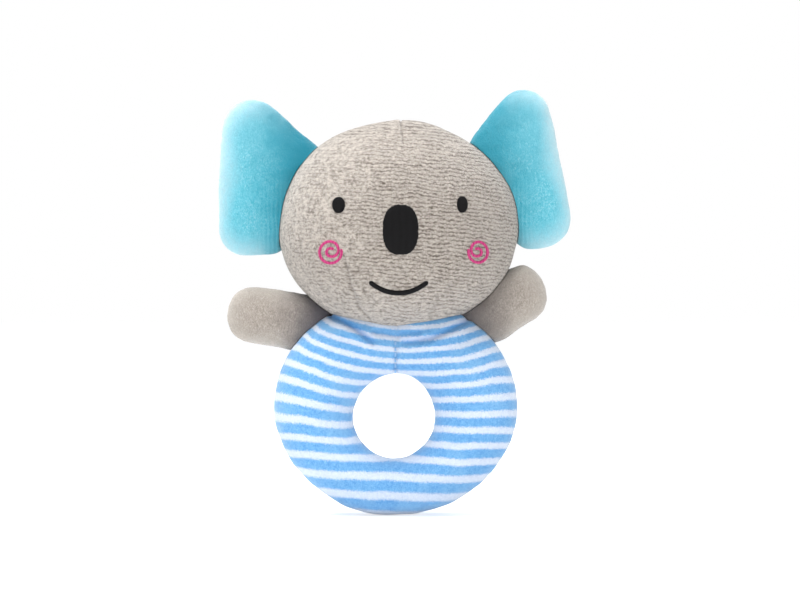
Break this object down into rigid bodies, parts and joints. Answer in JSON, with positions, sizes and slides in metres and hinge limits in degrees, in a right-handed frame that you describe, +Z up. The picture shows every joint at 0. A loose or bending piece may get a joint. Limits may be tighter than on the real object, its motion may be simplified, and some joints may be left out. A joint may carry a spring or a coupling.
{
  "type": "plush ring rattle",
  "caption": "Stuffed animal rattle: a round plush head with ears, two arms and a padded grip ring below, with a bead capsule inside the head.",
  "frame": {"origin": "middle of the small flat under the ring, where the toy stands", "axes": "+Z up along the toy, -Y the way the face looks, +X to the viewer's right"},
  "size_m": [0.1332, 0.0686, 0.1604],
  "materials": {
    "ring_fabric": "short-pile velour, light blue with white stripes",
    "head_fabric": "fine wavy knit plush, warm grey",
    "ear_fabric": "soft brushed velour, aqua",
    "arm_fabric": "soft brushed velour, warm grey",
    "filling": "white polyester fibre",
    "face_thread": "satin stitch, near black",
    "cheek_thread": "satin stitch, deep pink",
    "ring_thread": "light blue sewing thread",
    "head_thread": "warm grey sewing thread",
    "capsule_plastic": "smooth moulded",
    "bead_steel": "polished"
  },
  "bodies": {
    "ring": {"ring_front_panel": "ring_fabric", "ring_back_panel": "ring_fabric", "ring_stuffing": "filling", "ring_join_stitches": "ring_thread", "neck_stitches": "ring_thread"},
    "head": {"head_front_panel": "head_fabric", "head_back_panel": "head_fabric", "head_stuffing": "filling", "nose_embroidery": "face_thread", "left_eye_embroidery": "face_thread", "right_eye_embroidery": "face_thread", "mouth_embroidery": "face_thread", "left_cheek_embroidery": "cheek_thread", "right_cheek_embroidery": "cheek_thread", "closing_stitches": "head_thread", "capsule_lower_cup": "capsule_plastic", "capsule_upper_cup": "capsule_plastic"},
    "left_ear": {"left_ear_front_panel": "ear_fabric", "left_ear_back_panel": "ear_fabric", "left_ear_stuffing": "filling"},
    "right_ear": {"right_ear_front_panel": "ear_fabric", "right_ear_back_panel": "ear_fabric", "right_ear_stuffing": "filling"},
    "left_arm": {"left_arm_front_panel": "arm_fabric", "left_arm_back_panel": "arm_fabric", "left_arm_stuffing": "filling"},
    "right_arm": {"right_arm_front_panel": "arm_fabric", "right_arm_back_panel": "arm_fabric", "right_arm_stuffing": "filling"},
    "bead_1": {"rattle_bead_1": "bead_steel"},
    "bead_2": {"rattle_bead_2": "bead_steel"},
    "bead_3": {"rattle_bead_3": "bead_steel"},
    "bead_4": {"rattle_bead_4": "bead_steel"},
    "bead_5": {"rattle_bead_5": "bead_steel"}
  },
  "joints": [
    {"name": "head_nod", "type": "hinge", "parent": "ring", "child": "head", "pos_m": [0, 0, 0.065], "axis": [1, 0, 0], "range_deg": [-10, 10], "stiffness_Nm_per_rad": 0.15},
    {"name": "left_ear_fold", "type": "hinge", "parent": "head", "child": "left_ear", "pos_m": [-0.044, 0.001, 0.1205], "axis": [0.3051, 0, 0.9523], "range_deg": [-25, 25], "stiffness_Nm_per_rad": 0.015},
    {"name": "right_ear_fold", "type": "hinge", "parent": "head", "child": "right_ear", "pos_m": [0.0447, 0.001, 0.1235], "axis": [0.4002, 0, -0.9164], "range_deg": [-25, 25], "stiffness_Nm_per_rad": 0.015},
    {"name": "left_arm_swing", "type": "hinge", "parent": "ring", "child": "left_arm", "pos_m": [-0.0345, 0.0025, 0.0705], "axis": [0.65, 0, 0.76], "range_deg": [-20, 20], "stiffness_Nm_per_rad": 0.02},
    {"name": "right_arm_swing", "type": "hinge", "parent": "ring", "child": "right_arm", "pos_m": [0.0344, 0.0025, 0.0717], "axis": [0.65, 0, -0.76], "range_deg": [-20, 20], "stiffness_Nm_per_rad": 0.02},
    {"name": "bead_1_fly", "type": "slide", "parent": "head", "child": "bead_1", "axis": [0, 0, 1], "range_m": [0, 0.0185]},
    {"name": "bead_2_fly", "type": "slide", "parent": "head", "child": "bead_2", "axis": [0, 0, 1], "range_m": [0, 0.0153]},
    {"name": "bead_3_fly", "type": "slide", "parent": "head", "child": "bead_3", "axis": [0, 0, 1], "range_m": [0, 0.0153]},
    {"name": "bead_4_fly", "type": "slide", "parent": "head", "child": "bead_4", "axis": [0, 0, 1], "range_m": [0, 0.0153]},
    {"name": "bead_5_fly", "type": "slide", "parent": "head", "child": "bead_5", "axis": [0, 0, 1], "range_m": [0, 0.0153]}
  ]
}
